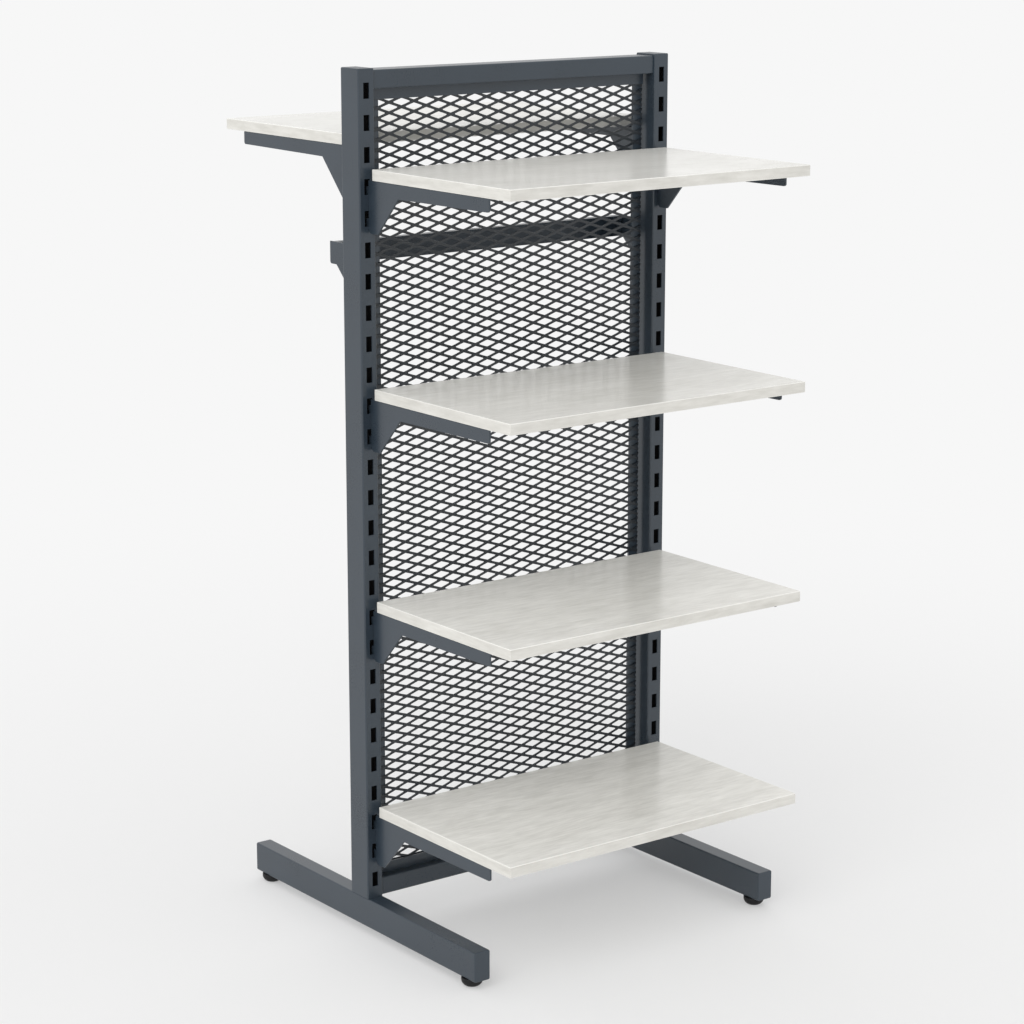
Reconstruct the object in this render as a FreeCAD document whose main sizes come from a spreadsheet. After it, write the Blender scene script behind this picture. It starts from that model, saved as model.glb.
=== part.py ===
"""Double-sided gondola shelf unit: slotted uprights on T-feet, an expanded-metal back panel, hook-in shelves
and a hang bar.

Millimetres. +X runs along the bay, -Y is the side with the four shelves and +Z is up. The origin lies on the
floor, midway between the uprights and under the middle of their depth.
"""
import FreeCAD, Part
import math
import os
import re

import Sketcher

# Driving dimensions, in millimetres, with what each one measures
SIZES = {
    "bay_pitch": (600, "centreline to centreline of the uprights"),
    "upright_width": (30, "upright tube, along the bay"),
    "upright_depth": (50, "upright tube, front to back"),
    "upright_wall": (2, "wall of the upright tube"),
    "upright_length": (1365, "upright tube, foot to cap"),
    "tube_corner": (2.5, "outer corner radius of every frame tube"),
    "slot_width": (11, "slot across the face: room for two bracket plates"),
    "slot_height": (25, "slot along the upright"),
    "slot_pitch": (50, "slot to slot"),
    "slot_top_margin": (20, "upper end of the upright tube to the first slot"),
    "slot_end_margin": (20, "least distance from the last slot to the foot"),
    "cap_flange": (2, "thickness of an upright cap above the tube"),
    "plug_length": (12, "length of a cap's plug inside its tube"),
    "plug_wall": (2, "wall of a cap's plug"),
    "plug_clearance": (0.2, "gap between a plug and the tube around it"),
    "beam_height": (30, "beam tube, upright on"),
    "beam_setback": (4, "beam face behind the upright's face"),
    "beam_wall": (1.6, "wall of a beam tube"),
    "beam_drop": (1, "top beam below the end of the upright tube"),
    "channel_height": (18, "flange of the channel that holds the panel"),
    "channel_wall": (1.5, "sheet of that channel"),
    "panel_side_gap": (7, "panel edge to the upright"),
    "panel_clearance": (0.2, "panel to the flanges of its channels"),
    "stile_width": (18, "flat bar behind the panel's edge"),
    "stile_thickness": (4, "that bar, front to back"),
    "mesh_thickness": (2, "expanded sheet, front to back"),
    "mesh_long": (48, "long way of a diamond, along the bay"),
    "mesh_short": (16.5, "short way of a diamond, upright on"),
    "mesh_strand": (3.6, "width of a strand"),
    "mesh_rim": (3, "plain rim of the sheet"),
    "foot_length": (650, "foot with both end caps"),
    "foot_width": (30, "foot tube, along the bay"),
    "foot_height": (50, "foot tube, upright on"),
    "foot_wall": (2, "wall of the foot tube"),
    "foot_cap_flange": (3, "thickness of a foot cap outside the tube"),
    "leveller_height": (15, "floor to the underside of the foot"),
    "leveller_inset": (28, "end of the foot to a leveller's axis"),
    "leveller_travel": (15, "how far a leveller screws out"),
    "pad_radius": (17.5, "leveller pad, out to its corners"),
    "pad_bevel": (5.5, "bevel round the pad's face on the floor"),
    "pad_floor": (5, "floor of the pad's socket"),
    "pad_stop_gap": (0.5, "top of the pad to the foot's underside"),
    "stud_radius": (4, "threaded stud"),
    "stud_spare": (4, "stud above its nut when screwed right out"),
    "socket_clearance": (0.3, "stud to the flats of the pad's socket"),
    "thread_clearance": (0.3, "stud to the nut and to the foot"),
    "nut_flats": (14, "nut in the foot, across the flats"),
    "nut_height": (8, "nut in the foot"),
    "board_thickness": (18, "shelf board"),
    "board_depth": (360, "shelf board, front to back"),
    "board_end_gap": (1, "end of the board to the upright's centreline"),
    "board_back_gap": (12, "back of the board to the upright's face"),
    "board_edge": (0.8, "bevel of the board's edges"),
    "bracket_plate": (3, "sheet of every bracket"),
    "bracket_side_gap": (0.5, "bracket plate to the side of the slot"),
    "bracket_face_gap": (0.2, "bracket plate to the upright's face"),
    "bracket_arm": (318, "shelf bracket, face of the upright to the tip"),
    "bracket_tip": (21, "height of its arm at the tip"),
    "bracket_neck": (23, "height of its arm at the gusset"),
    "bracket_knee": (81, "face of the upright to the end of its gusset"),
    "bracket_foot": (24, "depth of its lower end"),
    "bracket_root": (84, "height of its root"),
    "bracket_drop": (2, "its top edge below the top of its slot"),
    "bracket_round": (4, "rounding of a bracket's tip"),
    "bracket_heel": (8, "rounding of its lower end at the upright"),
    "bracket_bend": (1.5, "bend between plate and flange"),
    "flange_width": (20, "flange that carries the board"),
    "flange_start": (15, "face of the upright to the flange"),
    "flange_end": (8, "end of the flange behind the tip"),
    "hook_neck": (13, "height of a hook where it passes through the slot"),
    "hook_drop": (9, "how far a hook reaches down behind the wall"),
    "hook_gap": (0.5, "hook to the inside of the wall"),
    "hook_tongue": (4, "thickness of the hook behind the wall"),
    "hook_lead": (2, "bevel at the hook's lower end"),
    "bar_height": (35, "hang bar, upright on"),
    "bar_depth": (16, "hang bar, front to back"),
    "bar_wall": (1.5, "wall of the hang bar"),
    "bar_corner": (1, "outer corner radius of the hang bar"),
    "bar_margin": (0.6, "hang bar to the edges of its bracket"),
    "bar_arm": (62, "bar bracket, face of the upright to the tip"),
    "bar_knee": (44, "face of the upright to the end of its gusset"),
    "bar_foot": (10, "depth of its lower end"),
    "bar_root": (70, "height of its root"),
    "bar_heel": (3, "rounding of its lower end at the upright"),
    "bar_drop": (9, "its top edge below the top of its slot"),
}

# Slots are counted from the top, from 0. A bracket hooks into this slot and the next one.
FRONT_SLOT_INDEX = 3
REAR_SLOT_INDEX = 2
BAR_SLOT_INDEX = 5
FRONT_SHELVES = 4
SLOTS_PER_BRACKET = 2
FREE_SLOT_COUNT = 1

# A pad is drawn round with this many flats
PAD_SIDES = 24

# Sides of the bay and ends of a foot, as signs along X and Y
SIDES = {"left": -1, "right": 1}
ENDS = {"front": -1, "rear": 1}

doc = FreeCAD.newDocument("gondola_shelving")
sheet = doc.addObject("Spreadsheet::Sheet", "Sizes")
for row, (alias, (value, meaning)) in enumerate(SIZES.items(), 1):
    sheet.set(f"A{row}", meaning)
    sheet.set(f"B{row}", str(value))
    sheet.setAlias(f"B{row}", alias)
doc.recompute()

sub_parts = []

# Heights and lengths that several pieces share, as formulas of the sizes
UPRIGHT_FOOT = "leveller_height + foot_height"
UPRIGHT_TOP = f"{UPRIGHT_FOOT} + upright_length"
SLOT_COUNT = (
    "floor((upright_length - slot_top_margin - slot_height - slot_end_margin) / slot_pitch) + 1"
)
FRONT_STEP = (
    f"floor(({SLOT_COUNT} - {FRONT_SLOT_INDEX + SLOTS_PER_BRACKET + FREE_SLOT_COUNT})"
    f" / {FRONT_SHELVES - 1})"
)
BEAM_LENGTH = "bay_pitch - upright_width"
BEAM_DEPTH = "upright_depth - 2 * beam_setback"
TOP_BEAM_FOOT = f"{UPRIGHT_TOP} - beam_drop - beam_height"
BOTTOM_BEAM_TOP = f"{UPRIGHT_FOOT} + beam_height"
PANEL_WIDTH = f"{BEAM_LENGTH} - 2 * panel_side_gap"
PANEL_HEIGHT = "upright_length - beam_drop - 2 * beam_height - 2 * channel_wall"
FOOT_TUBE = "foot_length - 2 * foot_cap_flange"
LEVELLER_PLACE = "foot_length / 2 - leveller_inset"
PLATE_INNER = "slot_width / 2 - bracket_side_gap"
PLATE_OUTER = f"{PLATE_INNER} - bracket_plate"
# The height of a bracket's arm at its tip and where the gusset starts
ARM_HEIGHTS = {
    "bracket": ("bracket_tip", "bracket_neck"),
    "bar": ("bar_height + 2 * bar_margin", "bar_height + 2 * bar_margin"),
}


def size(alias):
    """The number in a cell of the sheet."""
    return float(sheet.get(alias))


def formula(text):
    """An expression in which every size names its cell."""
    return re.sub(r"[a-z]+(?:_[a-z]+)+", lambda word: f"Sizes.{word.group()}", text)


def bind(thing, name, text):
    """Ties a property of an object to a formula of the sizes."""
    thing.setExpression(name, formula(text))


def place(thing, x="0", y="0", z="0", turn=None):
    """Sets where an object stands, tied to the sizes."""
    if turn:
        thing.Placement = FreeCAD.Placement(FreeCAD.Vector(), turn)
    for axis, text in (("x", x), ("y", y), ("z", z)):
        bind(thing, f"Placement.Base.{axis}", text)


def turned(axis, degrees):
    """A turn about an axis."""
    return FreeCAD.Rotation(FreeCAD.Vector(*axis), degrees)


def keep(thing, label):
    """Names an object as a sub-part."""
    thing.Label = label
    sub_parts.append(thing)
    return thing


def new_body(label):
    """An empty body that is a sub-part."""
    return keep(doc.addObject("PartDesign::Body", label), label)


def sketch_on(body, role, offset="0"):
    """A sketch on one of a body's own planes, moved along the plane's normal."""
    support = next(f for f in body.Origin.OriginFeatures if f.Role == role)
    sketch = body.newObject("Sketcher::SketchObject", f"{body.Name}_{role[:2]}")
    sketch.AttachmentSupport = [(support, "")]
    sketch.MapMode = "FlatFace"
    bind(sketch, "AttachmentOffset.Base.z", offset)
    return sketch


def tie(sketch, kind, geometry, point, start, text):
    """Adds a dimension from the sketch's origin to a point, or a radius, and ties it to a formula."""
    if kind == "Radius":
        constraint = Sketcher.Constraint(kind, geometry, start)
    else:
        constraint = Sketcher.Constraint(kind, -1, 1, geometry, point, start)
    number = sketch.addConstraint(constraint)
    name = f"{kind}_{geometry}"
    sketch.renameConstraint(number, name)
    bind(sketch, f"Constraints.{name}", text)


def outline(sketch, corners):
    """Adds a closed outline whose corners are pairs of formulas. It starts as a regular polygon."""
    first = sketch.GeometryCount
    count = len(corners)
    turns = [2 * math.pi * index / count for index in range(count)]
    starts = [FreeCAD.Vector(math.cos(turn), math.sin(turn), 0) for turn in turns]
    for index, start in enumerate(starts):
        sketch.addGeometry(Part.LineSegment(start, starts[(index + 1) % count]))
    for index in range(count):
        following = first + (index + 1) % count
        sketch.addConstraint(Sketcher.Constraint("Coincident", first + index, 2, following, 1))
    for index, (along, up) in enumerate(corners):
        tie(sketch, "DistanceX", first + index, 1, starts[index].x, along)
        tie(sketch, "DistanceY", first + index, 1, starts[index].y, up)


def rectangle(sketch, width, height, along="0", up="0"):
    """Adds a rectangle about a centre."""
    corners = []
    for side, end in ((-1, -1), (1, -1), (1, 1), (-1, 1)):
        corners.append((f"{along} + {side} * ({width}) / 2", f"{up} + {end} * ({height}) / 2"))
    outline(sketch, corners)


def circle(sketch, radius, along="0", up="0"):
    """Adds a circle about a centre."""
    number = sketch.GeometryCount
    sketch.addGeometry(Part.Circle(FreeCAD.Vector(1, 1, 0), FreeCAD.Vector(0, 0, 1), 1))
    tie(sketch, "DistanceX", number, 3, 1, along)
    tie(sketch, "DistanceY", number, 3, 1, up)
    tie(sketch, "Radius", number, None, 1, radius)


def pad(body, sketch, length, reverse=False):
    """Pads a sketch along its normal, or against it."""
    feature = body.newObject("PartDesign::Pad", f"{body.Name}_pad")
    feature.Profile = sketch
    feature.Reversed = reverse
    bind(feature, "Length", length)
    doc.recompute()
    return feature


def pocket(body, sketch, length=None, reverse=False):
    """Cuts a sketch into the body: to a depth against its normal, or right through both ways."""
    before = body.Shape.Volume
    feature = body.newObject("PartDesign::Pocket", f"{body.Name}_pocket")
    feature.Profile = sketch
    feature.Reversed = reverse
    if length:
        bind(feature, "Length", length)
    else:
        feature.Type = "ThroughAll"
        feature.SideType = "Symmetric"
    doc.recompute()
    if body.Shape.Volume >= before:
        raise RuntimeError(f"{body.Label}: a pocket cut nothing")
    return feature


def swept_edges(shape, sketch, corners):
    """Names of the straight edges that some corners of a sketch sweep out."""
    points = [sketch.Placement.multVec(sketch.Geometry[corner].StartPoint) for corner in corners]
    normal = sketch.Placement.Rotation.multVec(FreeCAD.Vector(0, 0, 1))
    names = []
    for number, edge in enumerate(shape.Edges, 1):
        if edge.Curve.TypeId != "Part::GeomLine":
            continue
        run = edge.Vertexes[-1].Point - edge.Vertexes[0].Point
        if run.cross(normal).Length > 1e-6 * run.Length:
            continue
        offsets = [(point - edge.Vertexes[0].Point).cross(normal).Length for point in points]
        if min(offsets) < 1e-4:
            names.append(f"Edge{number}")
    return names


def level_edges(shape, axis, height):
    """Names of the edges that lie wholly at one height along an axis."""
    names = []
    for number, edge in enumerate(shape.Edges, 1):
        box = edge.BoundBox
        low, high = getattr(box, f"{axis}Min"), getattr(box, f"{axis}Max")
        if abs(low - height) < 1e-4 and abs(high - height) < 1e-4:
            names.append(f"Edge{number}")
    return names


def dress(body, kind, edges, name, text):
    """Rounds or bevels the named edges of the body's last feature."""
    if not edges:
        raise RuntimeError(f"{body.Label}: no edge to dress")
    last = body.Tip
    feature = body.newObject(kind, f"{body.Name}_{name}")
    feature.Base = (last, edges)
    bind(feature, name, text)
    doc.recompute()


def round_off(body, edges, radius):
    """Rounds the named edges of a body."""
    dress(body, "PartDesign::Fillet", edges, "Radius", radius)


def bevel(body, edges, width):
    """Bevels the named edges of a body."""
    dress(body, "PartDesign::Chamfer", edges, "Size", width)


def hollow_tube(body, role, width, height, wall, length, up="0"):
    """A rectangular tube with rounded corners, padded from one of the body's planes."""
    profile = sketch_on(body, role)
    rectangle(profile, width, height, up=up)
    rectangle(profile, f"{width} - 2 * {wall}", f"{height} - 2 * {wall}", up=up)
    pad(body, profile, length)
    round_off(body, swept_edges(body.Shape, profile, range(4)), "tube_corner")


def make_upright(side):
    """A slotted upright. One slot cut goes through the front and the rear wall and repeats downwards."""
    body = new_body(f"upright_{side}")
    hollow_tube(body, "XY_Plane", "upright_width", "upright_depth", "upright_wall", "upright_length")
    slot = sketch_on(body, "XZ_Plane")
    rectangle(
        slot, "slot_width", "slot_height", up="upright_length - slot_top_margin - slot_height / 2"
    )
    first = pocket(body, slot)
    row = body.newObject("PartDesign::LinearPattern", f"slot_row_{side}")
    row.Originals = [first]
    row.Direction = (slot, ["V_Axis"])
    row.Reversed = True
    row.Mode = "Spacing"
    bind(row, "Offset", "slot_pitch")
    bind(row, "Occurrences", SLOT_COUNT)
    body.Tip = row
    place(body, x=f"{SIDES[side]} * bay_pitch / 2", z=UPRIGHT_FOOT)


def make_cap(label, width, height, wall, flange):
    """An end cap for a tube: a rounded flange over the tube's end and a hollow plug inside it."""
    body = new_body(label)
    face = sketch_on(body, "XY_Plane")
    rectangle(face, width, height)
    pad(body, face, flange)
    round_off(body, swept_edges(body.Shape, face, range(4)), "tube_corner")
    plug = sketch_on(body, "XY_Plane")
    rectangle(plug, f"{width} - 2 * ({wall} + plug_clearance)", f"{height} - 2 * ({wall} + plug_clearance)")
    inner = f"{wall} + plug_clearance + plug_wall"
    rectangle(plug, f"{width} - 2 * ({inner})", f"{height} - 2 * ({inner})")
    pad(body, plug, "plug_length", reverse=True)
    return body


def make_upright_cap(side):
    """The cap on top of an upright."""
    cap = make_cap(f"upright_cap_{side}", "upright_width", "upright_depth", "upright_wall", "cap_flange")
    place(cap, x=f"{SIDES[side]} * bay_pitch / 2", z=UPRIGHT_TOP)


def make_beam(label, foot):
    """A beam between the uprights, with its underside at a height."""
    body = new_body(label)
    hollow_tube(
        body, "YZ_Plane", BEAM_DEPTH, "beam_height", "beam_wall", BEAM_LENGTH, up="beam_height / 2"
    )
    place(body, x=f"-({BEAM_LENGTH}) / 2", z=foot)


def make_channel(label, opening, height):
    """The channel along a beam that holds the panel's edge. It opens upwards (1) or downwards (-1)."""
    body = new_body(label)
    front = "-(mesh_thickness / 2 + panel_clearance)"
    rear = "mesh_thickness / 2 + stile_thickness + panel_clearance"
    web, lip = f"{opening} * channel_wall", f"{opening} * channel_height"
    profile = sketch_on(body, "YZ_Plane")
    corners = [
        (f"{front} - channel_wall", "0"),
        (f"{rear} + channel_wall", "0"),
        (f"{rear} + channel_wall", lip),
        (rear, lip),
        (rear, web),
        (front, web),
        (front, lip),
        (f"{front} - channel_wall", lip),
    ]
    outline(profile, corners)
    pad(body, profile, PANEL_WIDTH)
    place(body, x=f"-({PANEL_WIDTH}) / 2", z=height)


def make_stile(side):
    """The flat bar behind one edge of the mesh, standing in both channels."""
    body = new_body(f"panel_stile_{side}")
    profile = sketch_on(body, "XY_Plane")
    rectangle(profile, "stile_width", "stile_thickness", up="mesh_thickness / 2 + stile_thickness / 2")
    pad(body, profile, PANEL_HEIGHT)
    place(
        body,
        x=f"{SIDES[side]} * (({PANEL_WIDTH}) - stile_width) / 2",
        z=f"{BOTTOM_BEAM_TOP} + channel_wall",
    )


def mesh_layer(width, height, slope, front, back):
    """One lay of strands: a sheet with a rim, and a long gap between each strand and the next."""
    long_way, short_way = size("mesh_long"), size("mesh_short")
    rim = size("mesh_rim")
    steep = math.hypot(long_way, short_way)
    strand = size("mesh_strand") * steep / long_way
    reach = width / 2 - rim
    rise = slope * reach * short_way / long_way
    rows = int((height + 2 * abs(rise)) / short_way / 2) + 1
    gaps = []
    for row in range(-rows, rows + 1):
        low = row * short_way + strand / 2
        high = low + short_way - strand
        ends = [(-reach, low - rise), (reach, low + rise), (reach, high + rise), (-reach, high - rise)]
        points = [FreeCAD.Vector(x, front, z) for x, z in ends]
        gaps.append(Part.Face(Part.makePolygon(points + points[:1])))
    sheet_edge = rectangle_wire(width, height, front)
    window = Part.Face(rectangle_wire(2 * reach, height - 2 * rim, front))
    holes = [face.OuterWire for face in window.common(Part.Compound(gaps)).Faces]
    holed = Part.makeFace([sheet_edge] + holes, "Part::FaceMakerBullseye")
    return holed.extrude(FreeCAD.Vector(0, back - front, 0))


def rectangle_wire(width, height, depth):
    """An upright rectangle about the Z axis at a depth."""
    corners = ((-1, -1), (1, -1), (1, 1), (-1, 1), (-1, -1))
    return Part.makePolygon(
        [FreeCAD.Vector(x * width / 2, depth, z * height / 2) for x, z in corners]
    )


def make_mesh():
    """The expanded sheet: rising strands in its front half and falling ones in its rear half, crossing in
    diamonds.
    """
    inner = size("bay_pitch") - size("upright_width")
    width = inner - 2 * size("panel_side_gap")
    between_beams = size("upright_length") - size("beam_drop") - 2 * size("beam_height")
    height = between_beams - 2 * size("channel_wall")
    half = size("mesh_thickness") / 2
    rising = mesh_layer(width, height, 1, -half, 0)
    falling = mesh_layer(width, height, -1, 0, half)
    feature = keep(doc.addObject("Part::Feature", "expanded_mesh"), "expanded_mesh")
    feature.Shape = Part.Compound([*rising.Solids, *falling.Solids])
    place(feature, z=f"{BOTTOM_BEAM_TOP} + channel_wall + ({PANEL_HEIGHT}) / 2")


def make_foot(side):
    """A foot tube with the holes for its levellers. The upright is welded on the middle of it."""
    body = new_body(f"foot_{side}")
    hollow_tube(
        body, "XZ_Plane", "foot_width", "foot_height", "foot_wall", FOOT_TUBE, up="foot_height / 2"
    )
    under = sketch_on(body, "XY_Plane")
    for end in ENDS.values():
        middle = f"-({FOOT_TUBE}) / 2"
        circle(under, "stud_radius + thread_clearance", up=f"{middle} + {end} * ({LEVELLER_PLACE})")
    pocket(body, under, "foot_wall", reverse=True)
    place(body, x=f"{SIDES[side]} * bay_pitch / 2", y=f"({FOOT_TUBE}) / 2", z="leveller_height")


def make_foot_cap(side, end):
    """The cap in one end of a foot."""
    cap = make_cap(f"foot_cap_{end}_{side}", "foot_width", "foot_height", "foot_wall", "foot_cap_flange")
    place(
        cap,
        x=f"{SIDES[side]} * bay_pitch / 2",
        y=f"{ENDS[end]} * ({FOOT_TUBE}) / 2",
        z="leveller_height + foot_height / 2",
        turn=turned((1, 0, 0), -90 * ENDS[end]),
    )


def cylinder(name, radius, length):
    """A plain cylinder tied to the sizes."""
    thing = doc.addObject("Part::Cylinder", name)
    bind(thing, "Radius", radius)
    bind(thing, "Height", length)
    return thing


def hexagon(name, flats, length):
    """A six-sided prism, by its width across the flats."""
    thing = doc.addObject("Part::Prism", name)
    thing.Polygon = 6
    bind(thing, "Circumradius", f"{flats} / sqrt(3)")
    bind(thing, "Height", length)
    return thing


def combine(kind, name, base, tool):
    """A fusion or a cut of two solids."""
    thing = doc.addObject(kind, name)
    thing.Base = base
    thing.Tool = tool
    return thing


def group(label, members):
    """Like pieces that share a node, as separate solids."""
    compound = doc.addObject("Part::Compound", label)
    compound.Links = members
    return keep(compound, label)


def make_nut(side, end):
    """The nut welded inside a foot over a leveller."""
    name = f"nut_{side}_{end}"
    blank = hexagon(f"{name}_blank", "nut_flats", "nut_height")
    bore = cylinder(f"{name}_bore", "stud_radius + thread_clearance", "nut_height")
    nut = combine("Part::Cut", name, blank, bore)
    place(
        nut,
        x=f"{SIDES[side]} * bay_pitch / 2",
        y=f"{ENDS[end]} * ({LEVELLER_PLACE})",
        z="leveller_height + foot_wall",
    )
    return nut


def place_leveller(body, side, end):
    """Stands a leveller's piece on its axis."""
    place(body, x=f"{SIDES[side]} * bay_pitch / 2", y=f"{ENDS[end]} * ({LEVELLER_PLACE})")


def ring(sketch, radius):
    """Adds a regular outline of a pad's many sides, by the distance to its corners."""
    corners = []
    for step in range(PAD_SIDES):
        turn = 2 * math.pi * step / PAD_SIDES
        corners.append((f"({radius}) * {math.cos(turn):.9f}", f"({radius}) * {math.sin(turn):.9f}"))
    outline(sketch, corners)


def make_pad(side, end):
    """A leveller's round pad, turned by hand: bevelled to the floor, with a socket for the stud."""
    body = new_body(f"leveller_pad_{end}_{side}")
    top = "leveller_height - pad_stop_gap"
    rim = sketch_on(body, "XY_Plane")
    ring(rim, "pad_radius")
    pad(body, rim, top)
    bevel(body, level_edges(body.Shape, "Z", 0), "pad_bevel")
    socket = sketch_on(body, "XY_Plane", top)
    ring(socket, f"(stud_radius + socket_clearance) / {math.cos(math.pi / PAD_SIDES):.9f}")
    pocket(body, socket, f"{top} - pad_floor")
    place_leveller(body, side, end)


def make_stud(side, end):
    """A leveller's threaded stud, from the floor of the pad's socket up through the nut."""
    body = new_body(f"leveller_stud_{end}_{side}")
    thread = sketch_on(body, "XY_Plane", "pad_floor")
    circle(thread, "stud_radius")
    top = "leveller_height + foot_wall + nut_height + leveller_travel + stud_spare"
    pad(body, thread, f"{top} - pad_floor")
    place_leveller(body, side, end)


def make_bracket(label, hand, family, flanged):
    """A hook-in bracket cut from sheet. Its outline runs out along the arm, back along the gusset and down to
    the heel, then up past two hooks. The hand says which way its flange lies.
    """
    body = new_body(label)
    tip_height, neck_height = ARM_HEIGHTS[family]
    profile = sketch_on(body, "YZ_Plane", PLATE_OUTER if hand > 0 else f"-({PLATE_INNER})")
    corners = [
        ("-bracket_face_gap", "0"),
        (f"-{family}_arm", "0"),
        (f"-{family}_arm", f"-({tip_height})"),
        (f"-{family}_knee", f"-({neck_height})"),
        (f"-{family}_foot", f"-{family}_root"),
        ("-bracket_face_gap", f"-{family}_root"),
    ]
    near = "upright_wall + hook_gap"
    far = f"{near} + hook_tongue"
    for hook in (1, 0):
        seat = f"{family}_drop - slot_height - {hook} * slot_pitch"
        corners += [
            ("-bracket_face_gap", seat),
            (near, seat),
            (near, f"{seat} - hook_drop"),
            (f"{far} - hook_lead", f"{seat} - hook_drop"),
            (far, f"{seat} - hook_drop + hook_lead"),
            (far, f"{seat} + hook_neck"),
            ("-bracket_face_gap", f"{seat} + hook_neck"),
        ]
    outline(profile, corners)
    pad(body, profile, "bracket_plate")
    tip, heel = 2, 5
    round_off(body, swept_edges(body.Shape, profile, (tip,)), "bracket_round")
    round_off(body, swept_edges(body.Shape, profile, (heel,)), f"{family}_heel")
    if flanged:
        add_flange(body, hand)
    return body


def add_flange(body, hand):
    """Adds the inward flange that carries a board, and the bend along its edge."""
    flange = sketch_on(body, "XY_Plane")
    corners = [
        (f"{hand} * ({PLATE_OUTER})", "-flange_start"),
        (f"{hand} * ({PLATE_OUTER})", "-(bracket_arm - flange_end)"),
        (f"{hand} * ({PLATE_INNER} + flange_width)", "-(bracket_arm - flange_end)"),
        (f"{hand} * ({PLATE_INNER} + flange_width)", "-flange_start"),
    ]
    outline(flange, corners)
    pad(body, flange, "bracket_plate", reverse=True)
    outer = hand * (size("slot_width") / 2 - size("bracket_side_gap") - size("bracket_plate"))
    bend = set(level_edges(body.Shape, "X", outer)) & set(level_edges(body.Shape, "Z", 0))
    round_off(body, sorted(bend), "bracket_bend")


def make_board(label):
    """A shelf board with bevelled edges."""
    body = new_body(label)
    face = sketch_on(body, "XY_Plane")
    rectangle(
        face, "bay_pitch - 2 * board_end_gap", "board_depth", up="-(board_back_gap + board_depth / 2)"
    )
    pad(body, face, "board_thickness")
    bevel(body, [f"Edge{number + 1}" for number in range(len(body.Shape.Edges))], "board_edge")
    return body


def hook_height(slot, family):
    """Height of a bracket's top edge when its upper hook sits in a slot."""
    return f"{UPRIGHT_TOP} - slot_top_margin - slot_pitch * ({slot}) - {family}_drop"


def facing(end):
    """The turn that makes a piece modelled for the front face that end."""
    return turned((0, 0, 1), 0 if end == "front" else 180)


def make_bracket_pair(stem, end, family, level, flanged):
    """The left and the right bracket of a shelf or of the bar, hooked into the front or the rear faces."""
    for side, sign in SIDES.items():
        hand = -sign * -ENDS[end]
        bracket = make_bracket(f"{stem}_bracket_{side}", hand, family, flanged)
        place(
            bracket,
            x=f"{sign} * bay_pitch / 2",
            y=f"{ENDS[end]} * upright_depth / 2",
            z=level,
            turn=facing(end),
        )


def make_shelf(stem, end, slot):
    """A board on its two brackets, hooked into one face of the uprights."""
    level = hook_height(slot, "bracket")
    make_bracket_pair(stem, end, "bracket", level, flanged=True)
    board = make_board(f"{stem}_board")
    place(board, y=f"{ENDS[end]} * upright_depth / 2", z=level, turn=facing(end))


def make_hang_bar():
    """The flat hang bar on the rear face, between its two brackets."""
    level = hook_height(BAR_SLOT_INDEX, "bar")
    make_bracket_pair("hang_bar", "rear", "bar", level, flanged=False)
    body = new_body("hang_bar")
    length = f"bay_pitch - 2 * ({PLATE_INNER})"
    profile = sketch_on(body, "YZ_Plane")
    reach = "bar_arm - bar_margin - bar_depth / 2"
    for inset in ("0", "bar_wall"):
        rectangle(
            profile,
            f"bar_depth - 2 * {inset}",
            f"bar_height - 2 * {inset}",
            along=reach,
            up="-(bar_margin + bar_height / 2)",
        )
    pad(body, profile, length)
    round_off(body, swept_edges(body.Shape, profile, range(4)), "bar_corner")
    place(body, x=f"-({length}) / 2", y="upright_depth / 2", z=level)


def build():
    """Makes every sub-part."""
    for side in SIDES:
        make_upright(side)
        make_upright_cap(side)
        make_stile(side)
        make_foot(side)
        for end in ENDS:
            make_foot_cap(side, end)
            make_pad(side, end)
            make_stud(side, end)
    make_beam("top_beam", TOP_BEAM_FOOT)
    make_beam("bottom_beam", UPRIGHT_FOOT)
    make_channel("panel_top_channel", -1, TOP_BEAM_FOOT)
    make_channel("panel_bottom_channel", 1, BOTTOM_BEAM_TOP)
    make_mesh()
    corners = [(side, end) for side in SIDES for end in ENDS]
    group("leveller_nuts", [make_nut(side, end) for side, end in corners])
    for number in range(FRONT_SHELVES):
        slot = f"{FRONT_SLOT_INDEX} + {number} * ({FRONT_STEP})"
        make_shelf(f"front_shelf_{number + 1}", "front", slot)
    make_shelf("rear_shelf", "rear", str(REAR_SLOT_INDEX))
    make_hang_bar()
    doc.recompute()


def check():
    """Stops if any object failed or any sub-part has no valid shape."""
    for thing in doc.Objects:
        if {"Invalid", "Error"} & set(thing.State):
            raise RuntimeError(f"{thing.Label}: {thing.State}")
    for part in sub_parts:
        if part.Shape.isNull() or not part.Shape.isValid() or not part.Shape.Solids:
            raise RuntimeError(f"{part.Label}: no valid solid")


def write():
    """Writes each sub-part to its own file."""
    os.makedirs("parts", exist_ok=True)
    for part in sub_parts:
        part.Shape.exportStep(f"parts/{part.Label}.step")
        print(part.Label, len(part.Shape.Solids), round(part.Shape.Volume))


build()
check()
write()
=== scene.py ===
from math import copysign, pi, radians

import bmesh
import bpy
from bpy.props import FloatProperty, FloatVectorProperty, PointerProperty
from bpy.types import Operator, Panel, PropertyGroup
from mathutils import Matrix, Vector


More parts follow.
